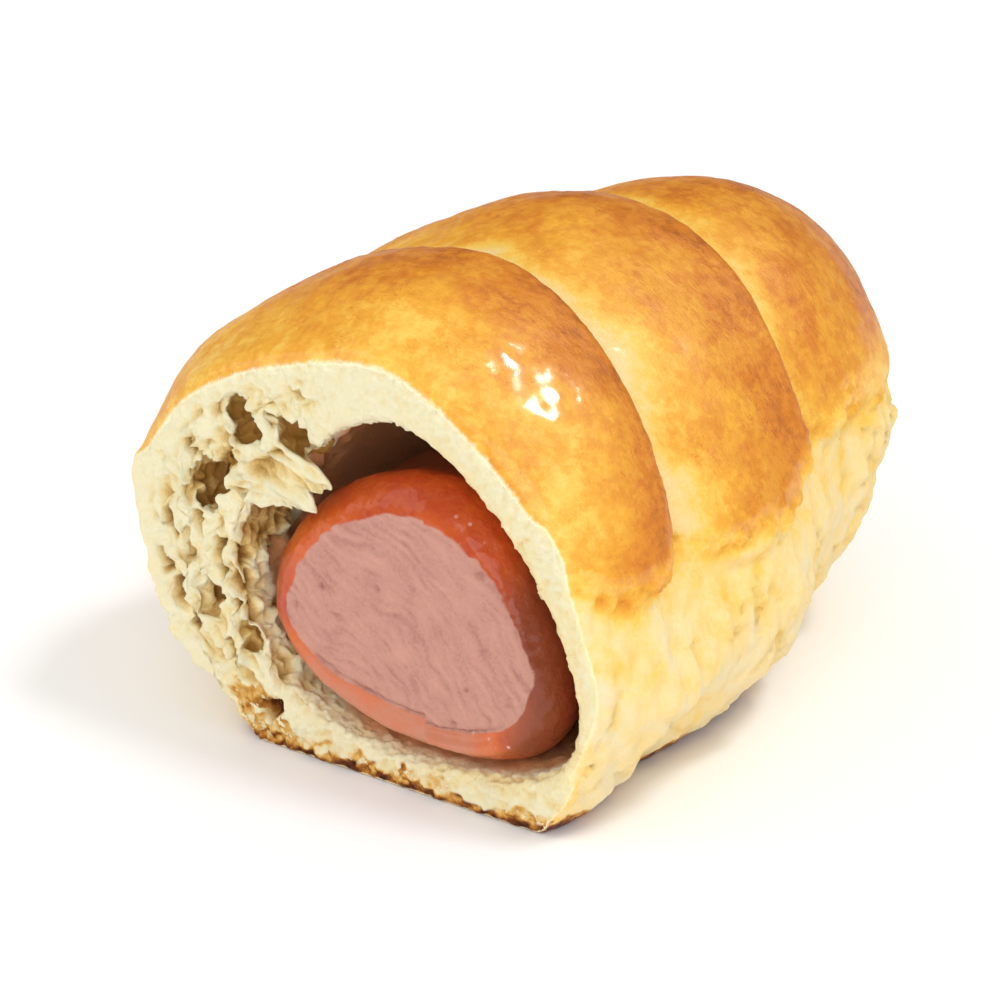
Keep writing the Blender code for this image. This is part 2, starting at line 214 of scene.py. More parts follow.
class SausageSettings(bpy.types.PropertyGroup):
    """Sizes and colours of the sausage."""
    grain: length("Mesh size", "Size of the sausage's mesh faces", 0.5 * MM)
    fine_depth: length("Fine depth", "How deep behind the cut the mesh is finest", 6.0 * MM)
    fibre_height: length("Fibre height", "Height of the meat's fibres", 0.16 * MM)
    meat: colour("Meat", "The cut meat", (0.56, 0.27, 0.205))
    meat_dark: colour("Meat dark", "Pits and darker fibres", (0.40, 0.15, 0.12))
    skin: colour("Skin", "The cooked skin", (0.50, 0.058, 0.010))
    skin_light: colour("Skin light", "The skin where it is thin and orange", (0.68, 0.13, 0.016))
    skin_pale: colour("Skin pale", "The pinkish skin underneath", (0.58, 0.225, 0.135))
    # Painted shade: the skin is darkened towards this deep in the hollow and on its right flank.
    skin_painted_shade: colour("Skin dark", "The browner skin inside the roll", (0.22, 0.045, 0.016))
    moisture: share("Moisture", "Strength of the wet gloss", 0.5)


class StageSettings(bpy.types.PropertyGroup):
    """The floor, the lights and the camera."""
    floor_size: length("Floor size", "Side of the floor", 6.0, high=20.0)
    floor_colour: colour("Floor", "The pale floor", (0.97, 0.97, 0.975))
    azimuth: view_angle("Azimuth", "Camera's turn from the cut face", 35.0)
    elevation: view_angle("Elevation", "Camera's angle over the floor", 25.0)
    distance: length("Distance", "Camera's distance from what it looks at", 0.5, high=5.0)
    focal: FloatProperty(name="Lens", description="Focal length in millimetres", default=170.7,
                         min=20.0, max=300.0)
    key_power: watts("Key power", "Power of the main light", 4.1)
    gloss_power: watts("Gloss power", "Power of the light seen in the gloss", 11.0)
    fill_power: watts("Fill power", "Power of the soft light from the front", 5.2)
    sky: FloatProperty(name="Sky", description="Strength of the light from all round", default=0.74,
                       min=0.0)


# ---- numbers and noise

def eased(value):
    """A share from 0 to 1 that starts and ends gently."""
    value = np.clip(value, 0.0, 1.0)
    return value * value * (3.0 - 2.0 * value)


def rising(value, low, high):
    """How far a value has risen from low to high, eased."""
    return eased((value - low) / (high - low))


def falling(value, low, high):
    """How much is left of a value's way from low to high, eased."""
    return 1.0 - rising(value, low, high)


def bell(value, middle, width):
    """A smooth hump: 1 where a value is at the middle, fading out over a width either side."""
    return np.exp(-((value - middle) / width) ** 2)


def patch(x, z, spot):
    """A smooth hump over a soft patch of the cut end."""
    middle_x, middle_z, across, tall = spot
    return bell(x, middle_x, across) * bell(z, middle_z, tall)


def mixed(first, second, amount):
    """A blend of two values."""
    return first + (second - first) * amount


def cloud(places, size, octaves=3, seed=0.0, squash=(1.0, 1.0, 1.0)):
    """Soft random swells of a size, from about -1 to 1, one value for each place.

    An axis that is squashed under 1 draws the swells out along it.
    """
    shift = Vector((seed, seed * 0.7, -seed))
    spots = places * np.array(squash) / size
    return np.array([noise.fractal(Vector(spot) + shift, 1.0, 2.0, octaves) for spot in spots])


def nearest(places, size, seed, lots):
    """How far places are from the two nearest of many random points, and the nearest one's lot."""
    shift = Vector((seed, -seed, seed * 0.5))
    first, second, lot = np.empty((3, len(places)))
    for index, place in enumerate(places / size):
        distances, centres = noise.voronoi(Vector(place) + shift)
        first[index], second[index] = distances[:2]
        lot[index] = abs(noise.cell(centres[0] * lots))
    return first, second, lot


def bubbles(places, size, least, most):
    """How deep places lie in random round bubbles: 0 outside them and 1 in their middles."""
    first, _, lot = nearest(places, size, 0.0, 9.7)
    return np.maximum(1.0 - (first / mixed(least, most, lot)) ** 2, 0.0)


def foam(places, size, wall, seed=0.0):
    """How far places lie inside the cells of a foam: 0 in its walls and 1 in its cells."""
    first, second, lot = nearest(places, size, seed, 7.3)
    return eased((second - first) / wall - 0.25) * mixed(0.25, 1.0, lot)


# ---- shape of the loaf

def on_section(section, x, z):
    """Where points lie on a section: their share of the way out, and their angle from its side."""
    on_right = x >= section["middle"]
    reach, height, upper, lower = (
        np.where(on_right, section["right" + part], section["left" + part])
        for part in ("", "_height", "_upper", "_lower")
    )
    on_top = z >= height
    rise = np.where(on_top, section["top"] - height, height - section["bottom"])
    bend = np.where(on_top, upper, lower)
    across = np.abs(x - section["middle"]) / reach
    up = np.abs(z - height) / rise
    out = (across ** bend + up ** bend) ** (1.0 / bend)
    safe = np.maximum(out, 1e-6)
    angle = np.arctan2((up / safe) ** (bend / 2.0), (across / safe) ** (bend / 2.0))
    return out, np.where(on_top, angle, -angle)


def angle_at_height(section, height, side):
    """The angle at which a section's left or right side reaches a height."""
    widest = section[side + "_height"]
    above = np.clip((height - widest) / (section["top"] - widest), 0.0, 1.0)
    below = np.clip((widest - height) / (widest - section["bottom"]), 0.0, 1.0)
    sine = above ** (section[side + "_upper"] / 2.0) - below ** (section[side + "_lower"] / 2.0)
    return np.arcsin(sine)


def blended_section(first, second, amount):
    """A section part of the way from one to another, for each of many places."""
    return {key: mixed(first[key], second[key], amount) for key in first}


class BandMap:
    """Where places on the skin lie: their band, their share of its width and their station.

    The station runs from 0 underneath by 1 at the band's lower end to 2 at the crown.
    """

    def __init__(self, local):
        x, y, z = local.T
        section = blended_section(LOAF, BACK, rising(y, BACK_START, END_START))
        self.out, angle = on_section(section, x, z)
        middle, top, crown = section["middle"], section["top"], math.pi / 2.0
        right = x >= middle
        self.band = np.zeros(len(local), int)
        self.share = np.full(len(local), 0.5)
        turned = rising(x, middle - REAR_TURN, middle + REAR_TURN)
        level = mixed(ENDS_LEFT[2], ENDS_RIGHT[2], turned)
        by_height = np.where(z > level, 1.0 + (z - level) / (top - level), z / level)
        rear = rising(y, REAR_START, REAR_END)
        for _ in range(3):
            lift = CORNER_LIFT * np.abs(2.0 * self.share - 1.0) ** CORNER_BEND * (1.0 - rear)
            end = np.where(
                right,
                angle_at_height(section, np.array(ENDS_RIGHT)[self.band] + lift, "right"),
                angle_at_height(section, np.array(ENDS_LEFT)[self.band] + lift, "left"),
            )
            above = 1.0 + (angle - end) / (crown - end)
            below = (angle + crown) / (end + crown)
            self.station = mixed(np.where(angle > end, above, below), by_height, rear)
            drop = np.clip(2.0 - self.station, 0.0, 1.0) ** LEAN_BEND
            lean = np.where(right, LEAN_RIGHT, LEAN_LEFT) * drop
            fronts = [np.zeros(len(local))] + [edge - lean for edge in BAND_EDGES[1:]]
            self.band = (y > fronts[1]).astype(int) + (y > fronts[2])
            front = np.choose(self.band, fronts)
            back = np.choose(self.band, fronts[1:] + [np.full(len(local), LENGTH)])
            self.share = np.clip((y - front) / (back - front), 0.0, 1.0)
            self.behind, self.before = y - front, back - y


def in_hollow(local):
    """Whether places lie on the wall of the hollow."""
    x, y, z = local.T
    mouth = on_section(MOUTH, x, z)[0]
    snug = on_section({**MEAT, "left": MEAT["left"] + GAP, "right": MEAT["right"] + GAP,
                       "top": MEAT["top"] + GAP, "bottom": MEAT["bottom"] - GAP}, x, z)[0]
    out = mixed(mouth, snug, rising(y, HOLLOW_OPEN, HOLLOW_DEPTH))
    past = np.clip((y - MEAT_REAR + MEAT_ROUND) / (MEAT_ROUND + GAP), 0.0, 1.0)
    return (out < np.sqrt(1.0 - past * past) + 0.06) & (y < MEAT_REAR + 2.0 * GAP)


def tilted(x, z, middle_x, middle_z, tilt):
    """Places counted from the middle of a tilted hole, along its own width and its own height."""
    across, up, turn = x - middle_x, z - middle_z, math.radians(tilt)
    return across * math.cos(turn) - up * math.sin(turn), across * math.sin(turn) + up * math.cos(turn)


def in_pores(local, margin=1.12):
    """How deep places lie inside the large holes: 0 outside them and 1 in their middles."""
    x, y, z = local.T
    depth = np.zeros(len(local))
    for middle_x, middle_z, across, deep, tall, tilt in PORES:
        u, w = tilted(x, z, middle_x, middle_z, tilt)
        away = np.sqrt((u / across) ** 2 + (y / deep) ** 2 + (w / tall) ** 2) / margin
        depth = np.maximum(depth, 1.0 - away)
    return depth


def torn_pockets(spot):
    """How deep the listed pockets of the cut face are at places, in millimetres."""
    x = spot[:, 0] + 0.8 * cloud(spot, 1.9, seed=41.0)
    z = spot[:, 2] + 0.8 * cloud(spot, 1.9, seed=57.0)
    depth = np.zeros(len(spot))
    for middle_x, middle_z, across, tall, tilt, deep in POCKETS:
        u, w = tilted(x, z, middle_x, middle_z, tilt)
        away = np.sqrt((u / across) ** 2 + (w / tall) ** 2)
        depth = np.maximum(depth, deep * falling(away, 0.45, 1.05))
    return depth


# ---- mesh steps

def select_only(thing):
    """Deselect everything, then select one object and make it active."""
    bpy.ops.object.select_all(action="DESELECT")
    thing.select_set(True)
    bpy.context.view_layer.objects.active = thing


def read(items, key, kind=np.int32, width=1):
    """A property of a mesh's items as an array, in rows where each item has several numbers."""
    values = np.empty(len(items) * width, kind)
    items.foreach_get(key, values)
    return values if width == 1 else values.reshape(-1, width)


def work_on(thing, chosen, operator, **settings):
    """Use an edit mode operator on the vertices of an object for which chosen is true."""
    select_only(thing)
    bpy.ops.object.mode_set(mode="EDIT")
    bpy.ops.mesh.select_mode(type="VERT")
    bpy.ops.mesh.select_all(action="DESELECT")
    bpy.ops.object.mode_set(mode="OBJECT")
    data = thing.data
    corners, starts = read(data.loops, "vertex_index"), read(data.polygons, "loop_start")
    whole = np.minimum.reduceat(chosen[corners].astype(np.int8), starts).astype(bool)
    data.vertices.foreach_set("select", chosen)
    data.polygons.foreach_set("select", whole)
    data.edges.foreach_set("select", chosen[read(data.edges, "vertices", width=2)].all(axis=1))
    bpy.ops.object.mode_set(mode="EDIT")
    operator(**settings)
    bpy.ops.object.mode_set(mode="OBJECT")


def local_places(thing):
    """An object's vertex places in millimetres, counted from the cut face as the sections are."""
    return read(thing.data.vertices, "co", np.float64, 3) / MM - ORIGIN


def move_to(thing, local):
    """Put an object's vertices at places in millimetres, counted from the cut face."""
    thing.data.vertices.foreach_set("co", ((local + ORIGIN) * MM).ravel())
    thing.data.update()


def normals_of(thing):
    """An object's vertex normals."""
    return read(thing.data.vertex_normals, "vector", np.float32, 3).astype(np.float64)


def fine_copy(node, name, grain):
    """A copy of a solid of the frame, merged and meshed evenly."""
    thing = bpy.data.objects.new(name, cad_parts[node].data.copy())
    bpy.context.collection.objects.link(thing)
    thing.data.materials.clear()
    every = np.ones(len(thing.data.vertices), bool)
    work_on(thing, every, bpy.ops.mesh.remove_doubles, threshold=0.01 * MM)
    remesh = thing.modifiers.new("Even mesh", "REMESH")
    remesh.mode = "VOXEL"
    remesh.voxel_size = grain
    bpy.ops.object.modifier_apply(modifier=remesh.name)
    return thing


def smooth(thing, chosen, repeat):
    """Smooth some of an object's vertices a number of times."""
    work_on(thing, chosen, bpy.ops.mesh.vertices_smooth, factor=0.5, repeat=repeat)


def paint(thing, name, values):
    """Keep a share from 0 to 1 for each vertex, for the materials to read."""
    layer = thing.data.attributes.new(name, "FLOAT", "POINT")
    layer.data.foreach_set("value", np.clip(values, 0.0, 1.0).astype(np.float32))


def blurred(thing, values, repeat):
    """Values of the vertices, evened out with their neighbours' a number of times."""
    first, second = read(thing.data.edges, "vertices", width=2).T
    count = len(values)
    ends = np.bincount(first, minlength=count) + np.bincount(second, minlength=count)
    for _ in range(repeat):
        total = np.bincount(first, values[second], count)
        total += np.bincount(second, values[first], count)
        values = 0.5 * values + 0.5 * total / np.maximum(ends, 1)
    return values


def give_faces(thing, values, slot):
    """Give a material slot to the faces whose vertices have a value over a half on average."""
    faces = thing.data.polygons
    corners, starts = read(thing.data.loops, "vertex_index"), read(faces, "loop_start")
    totals = np.add.reduceat(np.asarray(values, float)[corners], starts)
    slots = read(faces, "material_index")
    slots[totals / read(faces, "loop_total") > 0.5] = slot
    faces.foreach_set("material_index", slots)


# ---- materials

# A colour Mix node has sockets of the same names for other kinds of value, so they go by number.
COLOUR_A, COLOUR_B, COLOUR_RESULT = 6, 7, 2


class Paint:
    """A material under construction."""

    def __init__(self, name):
        self.material = bpy.data.materials.new(name)
        self.material.use_nodes = True
        self.nodes = self.material.node_tree.nodes
        self.links = self.material.node_tree.links
        self.shader = self.nodes["Principled BSDF"]
        self.place = self.add("ShaderNodeTexCoord").outputs["Object"]

    def add(self, kind, inputs=None, **settings):
        """A new node with its settings, and its inputs' values or links."""
        node = self.nodes.new(kind)
        for key, value in settings.items():
            setattr(node, key, value)
        for socket, value in (inputs or {}).items():
            self.put(node.inputs[socket], value)
        return node

    def put(self, socket, value):
        """Link an output to a socket, or set the socket's own value."""
        if isinstance(value, bpy.types.NodeSocket):
            self.links.new(value, socket)
        elif isinstance(value, (int, float)):
            socket.default_value = value
        else:
            values = tuple(value)
            socket.default_value = (*values, 1.0) if len(socket.default_value) > len(values) else values

    def attribute(self, name):
        """A value kept on the mesh."""
        return self.add("ShaderNodeAttribute", attribute_name=name).outputs["Fac"]

    def math(self, operation, first, second=0.0):
        """An operation on two numbers."""
        return self.add("ShaderNodeMath", {0: first, 1: second}, operation=operation).outputs[0]

    def total(self, first, *others):
        """Several numbers added up."""
        for other in others:
            first = self.math("ADD", first, other)
        return first

    def times(self, first, second):
        """One number times another."""
        return self.math("MULTIPLY", first, second)

    def speckle(self, size, detail=4.0, roughness=0.55, stretch=(1.0, 1.0, 1.0)):
        """Noise of a size in metres, from 0 to 1."""
        mapping = self.add("ShaderNodeMapping", {"Vector": self.place, "Scale": stretch})
        return self.add("ShaderNodeTexNoise", {
            "Vector": mapping.outputs["Vector"], "Scale": 1.0 / size, "Detail": detail,
            "Roughness": roughness,
        }).outputs["Fac"]

    def swing(self, strength, size, detail, roughness):
        """Noise of a size in metres that swings round 0 by a strength."""
        level = self.math("SUBTRACT", self.speckle(size, detail, roughness), 0.5)
        return self.times(level, strength)

    def cells(self, size):
        """Distance from the nearest of many random points, in shares of a size."""
        node = self.add("ShaderNodeTexVoronoi", {"Vector": self.place, "Scale": 1.0 / size})
        return node.outputs["Distance"]

    def span(self, value, low, high, first=0.0, last=1.0):
        """A value's place between low and high, as a number from first to last."""
        return self.add("ShaderNodeMapRange", {
            "Value": value, "From Min": low, "From Max": high, "To Min": first, "To Max": last,
        }, interpolation_type="SMOOTHSTEP").outputs["Result"]

    def ramp(self, value, stops):
        """A colour looked up along a list of (place, colour)."""
        node = self.add("ShaderNodeValToRGB", {"Fac": value})
        elements = node.color_ramp.elements
        while len(elements) < len(stops):
            elements.new(0.5)
        for element, (place, shade) in zip(elements, stops):
            element.position = place
            element.color = (*shade, 1.0)
        return node.outputs["Color"]

    def mix(self, first, second, amount):
        """A blend of two colours."""
        inputs = {"Factor": amount, COLOUR_A: first, COLOUR_B: second}
        return self.add("ShaderNodeMix", inputs, data_type="RGBA").outputs[COLOUR_RESULT]

    def bump(self, height, distance, below=None):
        """A normal bent by a height field whose full height is a distance in metres."""
        node = self.add("ShaderNodeBump", {"Height": height, "Distance": distance, "Strength": 1.0})
        if below is not None:
            self.put(node.inputs["Normal"], below)
        return node.outputs["Normal"]

    def finish(self, **sockets):
        """Set the shader's sockets, and return the material."""
        for name, value in sockets.items():
            self.put(self.shader.inputs[name.replace("_", " ")], value)
        return self.material


def bread_colour(box, settings):
    """The colour of baked dough, crust and crumb, from what is kept on the mesh."""
    baked = box.attribute("browning")
    patches = box.times(box.swing(0.20, 4.5 * MM, 3.0, 0.6), box.span(baked, 0.1, 0.4, 0.45))
    mottle = box.swing(0.34, 1.2 * MM, 6.0, 0.72)
    flakes = box.span(box.speckle(2.4 * MM, 5.0, 0.62), 0.42, 0.58, -0.035, 0.035)
    detail = box.times(box.total(mottle, flakes), box.span(baked, 0.1, 0.4, 0.4))
    veins = box.math("SUBTRACT", box.speckle(2.6 * MM, 4.0, 0.7, stretch=(1.0, 2.4, 1.0)), 0.5)
    veins = box.span(box.math("ABSOLUTE", veins), 0.0, 0.022, 1.0, 0.0)
    veins = box.times(veins, box.span(box.speckle(6.0 * MM, 2.0), 0.48, 0.62, 0.0, 0.16))
    veins = box.times(veins, box.span(baked, 0.2, 0.4))
    crust = box.ramp(box.total(baked, patches, detail, veins), (
        (0.0, settings.cream), (0.12, STRAW), (0.26, settings.pale), (0.43, settings.gold),
        (0.68, settings.orange), (0.95, settings.brown),
    ))
    scorch = box.attribute("scorch")
    burnt = box.ramp(
        box.total(scorch, box.swing(1.5, 3.4 * MM, 3.0, 0.6), box.swing(1.0, 0.9 * MM, 5.0, 0.65)),
        SCORCHED,
    )
    crust = box.mix(crust, burnt, box.span(scorch, 0.25, 0.5))
    # Painted shade: the crumb darkens from white towards its deepest tone the deeper it lies in pores
    # and holes, by the mouth's right edge and just inside the rim.
    depth = box.total(box.attribute("pocket"), box.swing(0.42, 2.6 * MM, 4.0, 0.6),
                      box.swing(0.62, 0.5 * MM, 6.0, 0.75))
    crumb = box.ramp(depth, (
        (0.0, settings.white), (0.24, settings.crumb), (0.55, SHADED_CRUMB), (0.95, settings.pore_shade),
    ))
    # The hollow's wall turns reddish brown, more the deeper it lies.
    hollow_tone = box.total(box.attribute("inside"), box.swing(0.3, 2.4 * MM, 4.0, 0.6))
    crumb = box.mix(crumb, settings.inside, box.span(hollow_tone, 0.15, 0.85))
    torn = box.total(box.attribute("cut"), box.swing(0.9, 0.8 * MM, 4.0, 0.7))
    shade = box.mix(crust, crumb, box.span(torn, 0.25, 0.75))
    return box.mix(shade, burnt, box.span(box.attribute("toasted"), 0.2, 0.8))


def make_crust(settings):
    """The glazed skin of the bands."""
    box = Paint("glazed_crust")
    wrinkles = box.speckle(1.5 * MM, 6.0, 0.66, stretch=(1.0, 1.8, 1.0))
    pits = box.speckle(0.28 * MM, 2.0, 0.5)
    normal = box.bump(pits, 0.03 * MM, below=box.bump(wrinkles, 0.22 * MM))
    rough = box.span(box.speckle(3.0 * MM, 4.0, 0.6), 0.3, 0.7, 0.36, 0.52)
    facing = box.add("ShaderNodeLayerWeight").outputs["Facing"]
    glaze = box.span(facing, 0.40, 0.85, settings.glaze, 0.04)
    return box.finish(Base_Color=bread_colour(box, settings), Roughness=rough, Normal=normal,
                      Coat_Weight=glaze, Coat_Roughness=0.11, Specular_IOR_Level=0.25)


def make_foot(settings):
    """The pale stretched dough below the bands."""
    box = Paint("pale_dough")
    fibres = box.speckle(0.9 * MM, 5.0, 0.65, stretch=(1.0, 1.0, 0.6))
    rough = box.span(fibres, 0.3, 0.7, 0.5, 0.64)
    return box.finish(Base_Color=bread_colour(box, settings), Roughness=rough,
                      Normal=box.bump(fibres, 0.18 * MM), Specular_IOR_Level=0.3,
                      Subsurface_Weight=0.10, Subsurface_Radius=(1.0, 0.55, 0.25),
                      Subsurface_Scale=GLOW)


def make_crumb(settings):
    """The open crumb of the cut face and of the hollow."""
    box = Paint("bread_crumb")
    normal = box.bump(box.speckle(0.5 * MM, 6.0, 0.75), 0.28 * MM)
    return box.finish(Base_Color=bread_colour(box, settings), Roughness=0.78, Normal=normal,
                      Specular_IOR_Level=0.2, Subsurface_Weight=0.15,
                      Subsurface_Radius=(1.0, 0.7, 0.35), Subsurface_Scale=GLOW)


def sausage_colour(box, settings):
    """The colour of the meat and of the skin round it."""
    value = box.total(box.attribute("rings"), box.swing(0.8, 0.40 * MM, 4.0, 0.75),
                      box.swing(0.6, 3.0 * MM, 4.0, 0.6))
    light = tuple(min(1.0, part * 1.22) for part in settings.meat)
    meat = box.ramp(value, ((0.0, settings.meat_dark), (0.45, settings.meat), (1.0, light)))
    tone = box.total(box.attribute("paleness"), box.swing(0.8, 2.6 * MM, 5.0, 0.65))
    skin = box.ramp(tone, (
        (0.0, settings.skin), (0.45, settings.skin_light), (1.0, settings.skin_pale),
    ))
    # Painted shade on the skin, deep in the hollow and on its right flank.
    skin = box.mix(skin, settings.skin_painted_shade, box.attribute("shaded"))
    edge = box.total(box.attribute("skinned"), box.swing(0.8, 1.4 * MM, 4.0, 0.65))
    shade = box.mix(meat, skin, box.span(edge, 0.3, 0.8))
    # Painted glints: pale dots along the groove and on two spots of the skin's right edge.
    glint_dots = box.span(box.cells(1.3 * MM), 0.10, 0.22, 1.0, 0.0)
    return box.mix(shade, GLINT_COLOUR, box.times(glint_dots, box.attribute("specks")))


def make_meat(settings):
    """The cut face of the sausage."""
    box = Paint("sausage_meat")
    normal = box.bump(box.speckle(0.40 * MM, 4.0, 0.75), 0.13 * MM)
    return box.finish(Base_Color=sausage_colour(box, settings), Roughness=0.45, Normal=normal,
                      Specular_IOR_Level=0.35, Subsurface_Weight=0.10,
                      Subsurface_Radius=(1.0, 0.35, 0.2), Subsurface_Scale=GLOW,
                      Coat_Weight=0.12, Coat_Roughness=0.2)


def make_skin(settings):
    """The glossy cooked skin of the sausage."""
    box = Paint("sausage_skin")
    normal = box.bump(box.speckle(1.1 * MM, 4.0, 0.6), 0.20 * MM)
    return box.finish(Base_Color=sausage_colour(box, settings), Roughness=0.38, Normal=normal,
                      Specular_IOR_Level=0.25, Coat_Weight=settings.moisture, Coat_Roughness=0.10)


def make_floor_paint(settings):
    """The pale floor."""
    box = Paint("pale_floor")
    rough = box.span(box.speckle(40.0 * MM, 3.0), 0.3, 0.7, 0.75, 0.85)
    return box.finish(Base_Color=settings.floor_colour, Roughness=rough, Specular_IOR_Level=0.1)


# ---- the bread

# The turn that the crumb's tears follow, and how its tears and smallest cells are drawn out.
SLANT = np.array(((0.85, 0.0, 0.53), (0.0, 1.0, 0.0), (-0.53, 0.0, 0.85)))
LEAN = np.array((1.0, 0.8, 0.48))
# How far round the loaf its larger cells count for each radian, and into it for each millimetre.
CELLS_ROUND, CELLS_INTO = 8.16, 0.7


def crumb_of(local):
    """Whether places are on the cut face, in the hollow or in the large holes."""
    return (local[:, 1] < FACE_END) | in_hollow(local) | (in_pores(local) > 0.0)


def reshape_front(local):
    """Draw in the cut end's lower corners, tear its lower left edge, and push out bulge and flap."""
    x, y, z = local.T
    moved = local.copy()
    low = falling(y, 1.0, 16.0) * falling(z, 0.0, 11.0)
    left, right = CORNERS_DRAWN
    moved[:, 0] += low * (left * rising(-x, 6.0, 24.0) + right * rising(x, 10.0, 26.0))
    bulge = np.prod([bell(local[:, k], BULGE[k], BULGE_REACH[k]) for k in range(3)], axis=0)
    moved += bulge[:, None] * np.array(BULGE_PUSH)
    across, up = x - LOAF["middle"], z - LOAF["left_height"]
    reach = np.hypot(across, up)
    ragged = falling(y, 2.0, 7.0) * rising(-x, 15.0, 22.0) * falling(z, 12.0, 22.0)
    ragged *= rising(reach, 18.0, 26.0) * (1.4 * cloud(local, 2.4, seed=81.0) - 0.2)
    moved[:, 0] += ragged * across / reach
    moved[:, 2] += ragged * up / reach
    edge = bell(on_section(MOUTH, x, z)[0], 1.0, 0.11) * falling(y, 0.3, 2.6) * (x < 0.0)
    frayed = 1.0 + 0.5 * cloud(local, 1.6, seed=77.0, squash=(0.4, 0.4, 1.0))
    flap = edge * np.exp(-(np.abs(z - FLAP_HEIGHT) / FLAP_REACH) ** 3) * frayed
    return moved + flap[:, None] * np.array(FLAP_PUSH)


def rim_distance(local):
    """How far inside the outline of the cut face places are, in millimetres."""
    across, up = local[:, 0] - LOAF["middle"], local[:, 2] - LOAF["left_height"]
    turn, reach = np.arctan2(up, across), np.hypot(across, up)
    slices, full = 120, 2.0 * math.pi
    index = ((turn / full + 0.5) * slices).astype(int) % slices
    face = local[:, 1] < RIM_END
    outline = np.zeros(slices)
    np.maximum.at(outline, index[face], reach[face])
    centres = (np.arange(slices) + 0.5) / slices * full - math.pi
    return np.interp(turn, centres, outline, period=full) - reach


def base_strip(local):
    """How much the torn lower crust shows on the cut face."""
    x, y, z = local.T
    height = mixed(2.4, 6.6, rising(-x, 8.0, 15.0)) * rising(x + 21.5, 0.0, 3.0)
    height = height * (1.0 - 0.25 * rising(x, 6.0, 12.0)) + 0.9 * rising(x, 16.0, 22.0)
    ragged = cloud(local, 2.6, 4, 5.0)
    return rising(height + ragged - z, -0.4, 0.6) * falling(y, 2.5, 5.0)


def band_tone(local, bands):
    """How brown the bands are: pale behind a crease, browner to the lip and on the crown, with painted
    shade in a thin line at each crease.
    """
    y, z = local[:, 1], local[:, 2]
    last = bands.band == 2
    patchy = cloud(local, 6.5)
    tone = 0.43 + 0.16 * rising(bands.share, 0.25, 0.85)
    tone = np.where(last, 0.57 + 0.10 * rising(y, 52.0, 68.0), tone)
    tone += 0.09 * rising(z, 38.0, 51.0) * rising(bands.share, 0.2, 0.6)
    tone -= 0.33 * np.where(bands.band > 0, falling(bands.behind + 1.2 * patchy, 1.0, 7.5), 0.0)
    # Browner towards each lip, and a thin dark line right at the crease: partly browning, partly
    # painted shade.
    lip = 0.13 * np.exp(-bands.before / 2.2) + 0.14 * bell(bands.before, 0.0, 0.55)
    tone += np.where(last, 0.0, lip)
    low_end = falling(bands.station + 0.08 * patchy, 1.0, 1.35) * rising(bands.share, 0.1, 0.6)
    tone += np.choose(bands.band, LOW_END_TONES) * low_end
    tone -= 0.06 * falling(y + 2.0 * patchy, 0.0, 8.0)
    return tone + 0.13 * patchy + 0.07 * cloud(local, 3.2, 4, 17.0, squash=(1.0, 2.6, 1.0))


def foot_tone(local, bands):
    """How brown the pale foot is: streaked, and darker in its cracks and at its seam."""
    streaks = cloud(local, 2.2, seed=3.0, squash=(1.0, 1.0, 0.45))
    tone = 0.05 + 0.08 * cloud(local, 7.0, seed=8.0) + 0.07 * streaks
    tone += 0.20 * np.exp(-foot_ridges(local) / 0.06) + 0.05 * rising(bands.station, 0.45, 0.85)
    tone += 0.34 * bell(bands.station, SEAM, 0.02) * seam_breaks(local)
    return tone + 0.10 * rising(bands.station + 0.03 * streaks, 0.89, 0.97)


def foot_ridges(local):
    """How far places on the foot are from its cracks."""
    return np.abs(cloud(local, 3.4, seed=27.0, squash=(1.0, 1.0, 0.6)))


def seam_breaks(local):
    """Where the seam between the foot and the bands is open."""
    return rising(cloud(local, 2.0, seed=45.0), -0.1, 0.4)


def browning_of(local, bands):
    """How brown the skin is, from 0, cream, to 1, dark brown, and how far it is a band's skin."""
    on_band = rising(bands.station + 0.022 * cloud(local, 2.4, seed=19.0), 0.94, 1.02)
    tone = mixed(foot_tone(local, bands), band_tone(local, bands), on_band)
    return np.clip(tone, 0.0, 1.0), on_band


